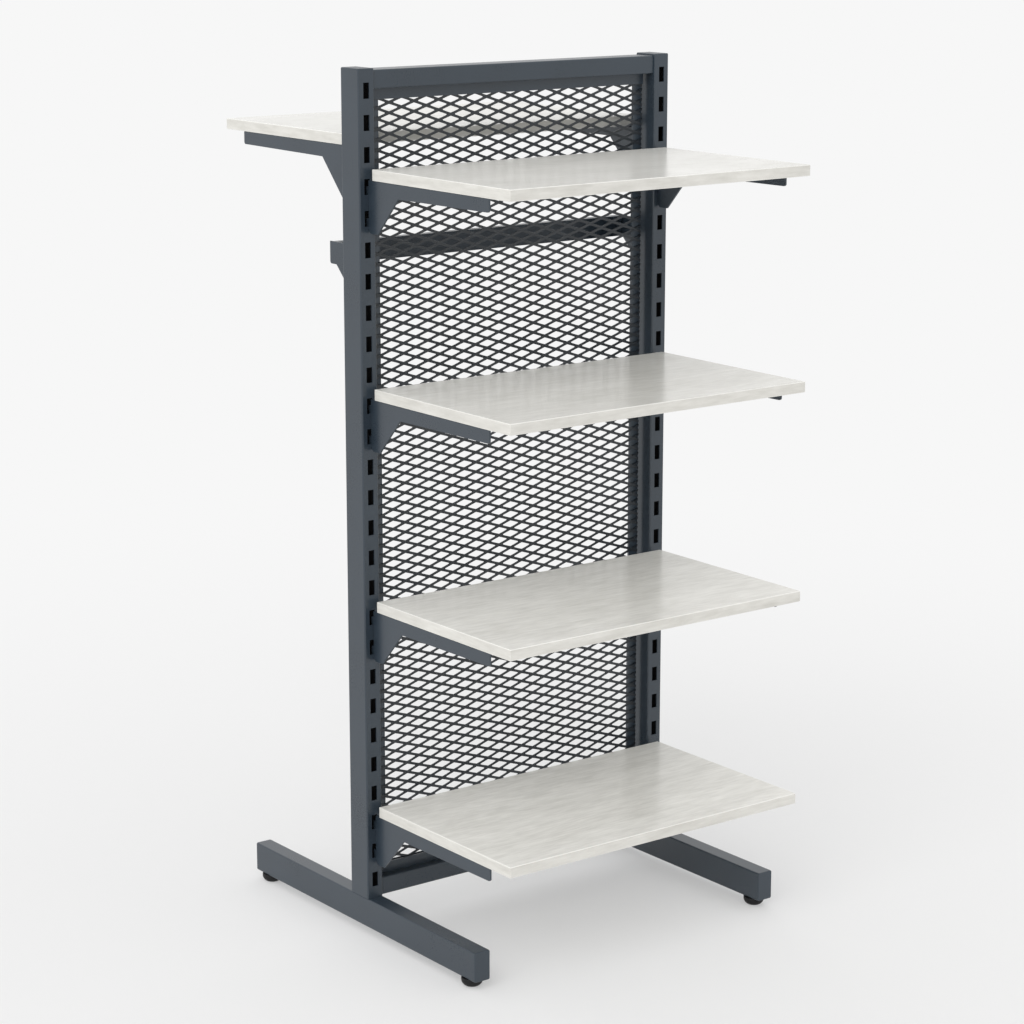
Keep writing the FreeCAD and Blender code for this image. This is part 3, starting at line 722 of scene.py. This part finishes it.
class SHELVING_OT_make_levellers(Operator):
    """Makes the levellers: a bowl-shaped pad and a threaded stud each"""

    bl_idname = "shelving.make_levellers"
    bl_label = "Make Levellers"

    def execute(self, context):
        sizes = context.scene.shelving_fittings
        plastic = skin_material(
            "Pad plastic", sizes.pad_colour, drift=0.10, dimple=0.5 * MM,
            dull=0.60, glossy=0.48, shine=0.30, depth=0.03 * MM, strength=0.3,
        )
        zinc = zinc_material(sizes.zinc)
        for end in ENDS:
            for side in SIDES:
                self.pad(f"leveller_pad_{end}_{side}", f"leveller_stud_{end}_{side}", sizes, plastic)
                self.stud(f"leveller_stud_{end}_{side}", sizes, zinc)
        return {"FINISHED"}

    def pad(self, node, stud, sizes, plastic):
        """A pad, widest under the foot and drawn in to the floor, with a socket for its stud."""
        low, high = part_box(node)
        rod_low, rod_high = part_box(stud)
        middle = (rod_low + rod_high) / 2
        rim = min(high.x - low.x, high.y - low.y) / 2
        socket = (rod_high.x - rod_low.x) / 2 + sizes.socket_gap
        bm = bmesh.new()
        turned_shape(
            bm,
            ((0, low.z), (sizes.pad_floor, low.z), (rim, sizes.pad_shoulder), (rim, high.z),
             (socket, high.z), (socket, rod_low.z), (0, rod_low.z)),
            PAD_STEPS,
        )
        for face in bm.faces:
            face.smooth = abs(face.normal.z) < ALIGNED
        bowl = level_ring(bm, sizes.pad_floor, low.z) + level_ring(bm, rim, sizes.pad_shoulder)
        soften(bm, bowl, sizes.pad_round, segments=5)
        soften(bm, level_ring(bm, rim, high.z), sizes.pad_lip, segments=3)
        bmesh.ops.translate(bm, vec=(middle.x, middle.y, 0), verts=bm.verts)
        new_piece(bm, f"{node}_moulding", node, [plastic], [node])

    def stud(self, node, sizes, zinc):
        """A stud with its thread, wound up past both ends and cut off square."""
        low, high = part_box(node)
        middle = (low + high) / 2
        crest = (high.x - low.x) / 2
        root = crest - sizes.thread
        bm = bmesh.new()
        shares = ((root, 0.0), (crest, CREST_START), (crest, CREST_END), (root, 1.0))
        line = drawn_line(bm, [(radius, share * sizes.pitch) for radius, share in shares])
        turns = int((high.z - low.z) / sizes.pitch) + SPARE_TURNS
        bmesh.ops.spin(
            bm, geom=line, cent=(0, 0, 0), axis=(0, 0, 1), dvec=(0, 0, sizes.pitch / SMALL_STEPS),
            angle=2 * pi * turns, steps=SMALL_STEPS * turns, use_duplicate=False,
        )
        bmesh.ops.remove_doubles(bm, verts=bm.verts, dist=NEAR)
        start = (middle.x, middle.y, low.z - SPARE_BELOW * sizes.pitch)
        bmesh.ops.translate(bm, vec=start, verts=bm.verts)
        for way, corner in ((-1, low), (1, high)):
            cut_off(bm, corner, (0, 0, way))
        bmesh.ops.holes_fill(bm, edges=[edge for edge in bm.edges if edge.is_boundary], sides=0)
        bmesh.ops.recalc_face_normals(bm, faces=bm.faces)
        # The cut ends, which have many corners, stay flat
        for face in bm.faces:
            face.smooth = len(face.verts) < 5
        new_piece(bm, f"{node}_thread", node, [zinc], [node])


class SHELVING_OT_make_screws(Operator):
    """Makes the screws that hold each board to the flanges of its two brackets"""

    bl_idname = "shelving.make_screws"
    bl_label = "Make Board Screws"

    def execute(self, context):
        sizes = context.scene.shelving_fittings
        zinc = zinc_material(sizes.zinc)
        for shelf in SHELVES:
            way = 1 if shelf.startswith("rear") else -1
            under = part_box(f"{shelf}_board")[0].z - sizes.flange
            bm = bmesh.new()
            for side in SIDES:
                low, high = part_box(f"upright_{side}")
                across = (low.x + high.x) / 2
                across -= copysign(sizes.screw_inset, across)
                face = high.y if way > 0 else low.y
                for out in (sizes.screw_near, sizes.screw_far):
                    self.head(bm, Vector((across, face + way * out, under)), sizes)
            new_piece(bm, f"{shelf}_screws", shelf, [zinc])
        return {"FINISHED"}

    def head(self, bm, place, sizes):
        """A pan head, face down, with a cross recess."""
        part = bmesh.new()
        span = CROSS_SPAN * sizes.head_radius
        grid = bmesh.ops.create_grid(part, x_segments=3, y_segments=3, size=span)
        for vert in grid["verts"]:
            for axis in (0, 1):
                if abs(vert.co[axis]) < span / 2:
                    vert.co[axis] *= CROSS_ARM
        middles = {face: face.calc_center_median() for face in part.faces}
        corners = [face for face, middle in middles.items() if min(abs(middle.x), abs(middle.y)) > NEAR]
        bmesh.ops.delete(part, geom=corners, context="FACES")
        sunk = bmesh.ops.extrude_face_region(part, geom=part.faces[:])["geom"]
        verts = [item for item in sunk if isinstance(item, bmesh.types.BMVert)]
        bmesh.ops.scale(part, vec=(CROSS_TAPER, CROSS_TAPER, 1), verts=verts)
        bmesh.ops.translate(part, vec=(0, 0, -CROSS_DEPTH * sizes.head_height), verts=verts)
        flat = [face for face in part.faces if self.on_top(face)]
        bmesh.ops.delete(part, geom=flat, context="FACES_ONLY")
        inner = [edge for edge in part.edges if self.on_top(edge) and edge.is_boundary]
        rings = []
        for share, height in HEAD_RINGS:
            radius = share * sizes.head_radius
            made = bmesh.ops.create_circle(part, segments=SMALL_STEPS, radius=radius)["verts"]
            bmesh.ops.translate(part, vec=(0, 0, height * sizes.head_height), verts=made)
            rings.append(list({edge for vert in made for edge in vert.link_edges}))
        bmesh.ops.bridge_loops(part, edges=inner + rings[0])
        for first, second in zip(rings, rings[1:]):
            for face in bmesh.ops.bridge_loops(part, edges=first + second)["faces"]:
                face.smooth = True
        bmesh.ops.contextual_create(part, geom=rings[-1])
        bmesh.ops.recalc_face_normals(part, faces=part.faces)
        bmesh.ops.rotate(part, matrix=Matrix.Rotation(pi, 3, "X"), verts=part.verts)
        bmesh.ops.translate(part, vec=place - Vector((0, 0, sizes.head_height)), verts=part.verts)
        spare = bpy.data.meshes.new("screw_head")
        part.to_mesh(spare)
        part.free()
        bm.from_mesh(spare)
        bpy.data.meshes.remove(spare)

    def on_top(self, item):
        """Whether an edge or a face lies in the level of a head's top."""
        return all(abs(vert.co.z) < FINE for vert in item.verts)


class SHELVING_OT_set_stage(Operator):
    """Sets the camera, the light and the floor"""

    bl_idname = "shelving.set_stage"
    bl_label = "Set Stage"

    def execute(self, context):
        stage, scene = context.scene.shelving_stage, context.scene
        scene.view_settings.view_transform = "Standard"
        camera = bpy.data.objects.new("camera", bpy.data.cameras.new("camera"))
        camera.location, camera.rotation_euler = stage.camera_place, stage.camera_turn
        camera.data.lens, camera.data.sensor_width = stage.lens, SENSOR_WIDTH
        camera.data.clip_end = FAR_CLIP
        scene.collection.objects.link(camera)
        scene.camera = camera
        self.light(scene, "key_light", stage.sun_from, stage.sun_level, stage.spread)
        self.light(scene, "back_light", stage.back_from, stage.back_level, stage.spread)
        self.sky(scene, stage.sky_level, stage.white)
        self.floor(scene, stage)
        return {"FINISHED"}

    def light(self, scene, name, source, level, width):
        """A broad, far light."""
        lamp = bpy.data.objects.new(name, bpy.data.lights.new(name, "SUN"))
        lamp.data.energy, lamp.data.angle = level, width
        lamp.rotation_euler = Vector(source).to_track_quat("Z", "Y").to_euler()
        scene.collection.objects.link(lamp)

    def sky(self, scene, level, white):
        """Even light all round, white where it is seen or mirrored."""
        world = scene.world or bpy.data.worlds.new("Studio")
        scene.world = world
        world.use_nodes = True
        tree = world.node_tree
        tree.nodes.clear()
        strength = put(
            tree, "ShaderNodeMapRange", {"Value": seen_rays(tree), "To Min": level, "To Max": white}
        ).outputs["Result"]
        light = put(tree, "ShaderNodeBackground", {"Color": (1, 1, 1, 1), "Strength": strength})
        put(tree, "ShaderNodeOutputWorld", {"Surface": light.outputs["Background"]})

    def floor(self, scene, stage):
        """A pale floor that takes the shadow near the object and turns white farther off."""
        bm = bmesh.new()
        bmesh.ops.create_circle(bm, cap_ends=True, segments=FLOOR_STEPS, radius=stage.floor_radius)
        mesh = bpy.data.meshes.new("floor")
        bm.to_mesh(mesh)
        bm.free()
        made, tree, shader, place = new_material("Floor")
        shader.inputs["Base Color"].default_value = (*stage.floor_colour, 1.0)
        shader.inputs["Roughness"].default_value = 0.9
        shader.inputs["Specular IOR Level"].default_value = 0.1
        reach = put(tree, "ShaderNodeVectorMath", {0: place}, operation="LENGTH").outputs["Value"]
        fade = put(
            tree, "ShaderNodeMapRange",
            {"Value": reach, "From Min": stage.fade_from, "From Max": stage.fade_to,
             "To Min": stage.fade_share},
            interpolation_type="SMOOTHSTEP",
        ).outputs["Result"]
        share = sums(tree, "MULTIPLY", fade, seen_rays(tree))
        glow = put(tree, "ShaderNodeEmission", {"Color": (1, 1, 1, 1), "Strength": stage.white})
        mixed = put(
            tree, "ShaderNodeMixShader",
            {0: share, 1: shader.outputs["BSDF"], 2: glow.outputs["Emission"]},
        )
        tree.links.new(mixed.outputs["Shader"], tree.nodes["Material Output"].inputs["Surface"])
        mesh.materials.append(made)
        floor = bpy.data.objects.new("floor", mesh)
        scene.collection.objects.link(floor)


class SHELVING_PT_sidebar(Panel):
    """Lists the steps, with the sizes and colours that they use"""

    bl_label = "Gondola Shelving"
    bl_idname = "SHELVING_PT_sidebar"
    bl_space_type = "VIEW_3D"
    bl_region_type = "UI"
    bl_category = "Shelving"

    def draw(self, context):
        for operator in OPERATORS:
            self.layout.operator(operator.bl_idname)
        for name, group in GROUPS.items():
            box = self.layout.box()
            box.label(text=group.__doc__)
            for field in group.__annotations__:
                box.prop(getattr(context.scene, name), field)


GROUPS = {
    "shelving_paint": PaintFinish,
    "shelving_boards": BoardFinish,
    "shelving_panel": PanelSizes,
    "shelving_fittings": FittingSizes,
    "shelving_stage": StageSettings,
}
OPERATORS = (
    SHELVING_OT_paint_frame,
    SHELVING_OT_make_mesh,
    SHELVING_OT_make_caps,
    SHELVING_OT_make_boards,
    SHELVING_OT_make_levellers,
    SHELVING_OT_make_screws,
    SHELVING_OT_set_stage,
)
CLASSES = (*GROUPS.values(), *OPERATORS, SHELVING_PT_sidebar)


def register():
    for kind in CLASSES:
        bpy.utils.register_class(kind)
    for name, group in GROUPS.items():
        setattr(bpy.types.Scene, name, PointerProperty(type=group))


def unregister():
    for name in GROUPS:
        delattr(bpy.types.Scene, name)
    for kind in reversed(CLASSES):
        bpy.utils.unregister_class(kind)


def main():
    """Builds every piece in order."""
    register()
    bpy.ops.shelving.paint_frame()
    bpy.ops.shelving.make_mesh()
    bpy.ops.shelving.make_caps()
    bpy.ops.shelving.make_boards()
    bpy.ops.shelving.make_levellers()
    bpy.ops.shelving.make_screws()
    bpy.ops.shelving.set_stage()


if __name__ == "__main__":
    main()
